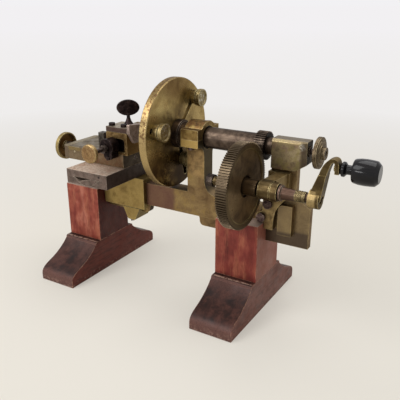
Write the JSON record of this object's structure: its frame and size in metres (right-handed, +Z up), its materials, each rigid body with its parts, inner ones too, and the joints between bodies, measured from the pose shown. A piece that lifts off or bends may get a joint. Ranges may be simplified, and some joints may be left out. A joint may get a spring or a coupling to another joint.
{
  "type": "watchmakers lathe",
  "caption": "Hand-cranked mandrel lathe with a slotted faceplate, geared crank and compound slide rest on wooden feet.",
  "frame": {"origin": "on the floor, at the middle of the bounding box", "axes": "+X along the mandrel towards the crank handle, +Y away from the operator, +Z up"},
  "size_m": [0.3894, 0.174, 0.244],
  "materials": {
    "mahogany": "old polish",
    "brass": "tarnished",
    "bright_brass": "worn bright",
    "steel": "browned",
    "iron": "rust stained",
    "black_steel": "blackened",
    "ebony": "polished black"
  },
  "bodies": {
    "frame": {"left_foot_base": "mahogany", "left_foot_post": "mahogany", "left_foot_screw": "steel", "left_post_bolt": "steel", "right_foot_base": "mahogany", "right_foot_post": "mahogany", "right_foot_screw": "steel", "right_post_bolt": "steel", "bed_frame": "brass", "bearing_cap": "bright_brass", "front_bush": "steel", "front_cap_screw": "steel", "back_cap_screw": "steel", "rear_bearing_block": "steel", "crank_bracket": "bright_brass", "bracket_upper_screw": "black_steel", "bracket_lower_screw": "black_steel"},
    "mandrel": {"mandrel_spindle": "steel", "faceplate": "bright_brass", "pinion": "black_steel"},
    "dog_1": {"dog_1": "steel"},
    "dog_2": {"dog_2": "steel"},
    "dog_3": {"dog_3": "steel"},
    "dog_nut_1": {"dog_nut_1": "bright_brass"},
    "dog_nut_2": {"dog_nut_2": "bright_brass"},
    "dog_nut_3": {"dog_nut_3": "bright_brass"},
    "draw_spindle": {"draw_spindle": "steel", "draw_knob": "brass"},
    "crank": {"crank_arbor": "steel", "arbor_nut": "black_steel", "arbor_sleeve": "bright_brass", "crank_wheel": "brass", "ringed_collar": "bright_brass", "crank_arm": "bright_brass", "handle_spindle": "bright_brass"},
    "handle": {"crank_handle": "ebony"},
    "saddle": {"saddle": "brass", "keystone_clamp": "brass", "front_clamp_screw": "steel", "back_clamp_screw": "steel", "cross_way": "iron", "way_screw": "steel"},
    "cross_table": {"cross_table": "iron", "long_nut": "brass"},
    "long_slide": {"long_slide": "brass", "slide_stud": "iron", "bridge_block": "bright_brass", "bridge_screw": "steel", "screw_bearing": "black_steel", "bearing_screw": "black_steel"},
    "long_feed": {"long_feed_screw": "steel", "hand_wheel": "brass"},
    "top_slide": {"top_slide": "iron", "cross_feed_nut": "black_steel", "clamp_jaw": "iron", "jaw_screw_1": "black_steel", "jaw_screw_2": "black_steel"},
    "cross_feed": {"cross_feed_screw": "steel", "front_knob": "bright_brass"},
    "thumb_screw": {"thumb_screw": "black_steel"}
  },
  "joints": [
    {"name": "mandrel_spin", "type": "hinge", "parent": "frame", "child": "mandrel", "pos_m": [-0.0032, 0.00335, 0.184], "axis": [1, 0, 0], "continuous": true},
    {"name": "crank_turn", "type": "hinge", "parent": "frame", "child": "crank", "pos_m": [0.0968, -0.04456, 0.155], "axis": [1, 0, 0], "continuous": true},
    {"name": "handle_spin", "type": "hinge", "parent": "crank", "child": "handle", "pos_m": [0.1613, -0.04456, 0.1865], "axis": [1, 0, 0], "continuous": true},
    {"name": "draw_slide", "type": "slide", "parent": "mandrel", "child": "draw_spindle", "axis": [1, 0, 0], "range_m": [-0.0025, 0.01]},
    {"name": "dog_1_slide", "type": "slide", "parent": "mandrel", "child": "dog_1", "axis": [0, 0.682, 0.7314], "range_m": [-0.0215, 0.0003]},
    {"name": "dog_nut_1_turn", "type": "hinge", "parent": "dog_1", "child": "dog_nut_1", "pos_m": [-0.0344, 0.03574, 0.21874], "axis": [1, 0, 0], "continuous": true},
    {"name": "dog_2_slide", "type": "slide", "parent": "mandrel", "child": "dog_2", "axis": [0, -0.9744, 0.225], "range_m": [-0.0165, 0.0053]},
    {"name": "dog_nut_2_turn", "type": "hinge", "parent": "dog_2", "child": "dog_nut_2", "pos_m": [-0.0344, -0.03806, 0.19356], "axis": [1, 0, 0], "continuous": true},
    {"name": "dog_3_slide", "type": "slide", "parent": "mandrel", "child": "dog_3", "axis": [0, 0.2924, -0.9563], "range_m": [-0.006, 0.0158]},
    {"name": "dog_nut_3_turn", "type": "hinge", "parent": "dog_3", "child": "dog_nut_3", "pos_m": [-0.0344, 0.0127, 0.1534], "axis": [1, 0, 0], "continuous": true},
    {"name": "saddle_slide", "type": "slide", "parent": "frame", "child": "saddle", "axis": [1, 0, 0], "range_m": [-0.0015, 0.007]},
    {"name": "cross_table_slide", "type": "slide", "parent": "saddle", "child": "cross_table", "axis": [0, 1, 0], "range_m": [-0.02, 0.02]},
    {"name": "long_slide_travel", "type": "slide", "parent": "cross_table", "child": "long_slide", "axis": [1, 0, 0], "range_m": [-0.015, 0.011]},
    {"name": "long_feed_turn", "type": "hinge", "parent": "long_slide", "child": "long_feed", "pos_m": [-0.1922, -0.00865, 0.1517], "axis": [1, 0, 0], "range_deg": [-3610, 2650]},
    {"name": "top_slide_travel", "type": "slide", "parent": "long_slide", "child": "top_slide", "axis": [0, 1, 0], "range_m": [-0.006, 0.01]},
    {"name": "cross_feed_turn", "type": "hinge", "parent": "long_slide", "child": "cross_feed", "pos_m": [-0.0997, -0.04665, 0.1678], "axis": [0, 1, 0], "range_deg": [-3610, 2170]},
    {"name": "thumb_screw_turn", "type": "hinge", "parent": "top_slide", "child": "thumb_screw", "pos_m": [-0.0928, -0.00815, 0.19], "axis": [0, 0, 1], "continuous": true}
  ],
  "couplings": [
    {"joint": "crank_turn", "follows": "mandrel_spin", "ratio": -0.33333},
    {"joint": "long_feed_turn", "follows": "long_slide_travel", "rad_per_m": 4188.8},
    {"joint": "cross_feed_turn", "follows": "top_slide_travel", "rad_per_m": -6283.2}
  ]
}
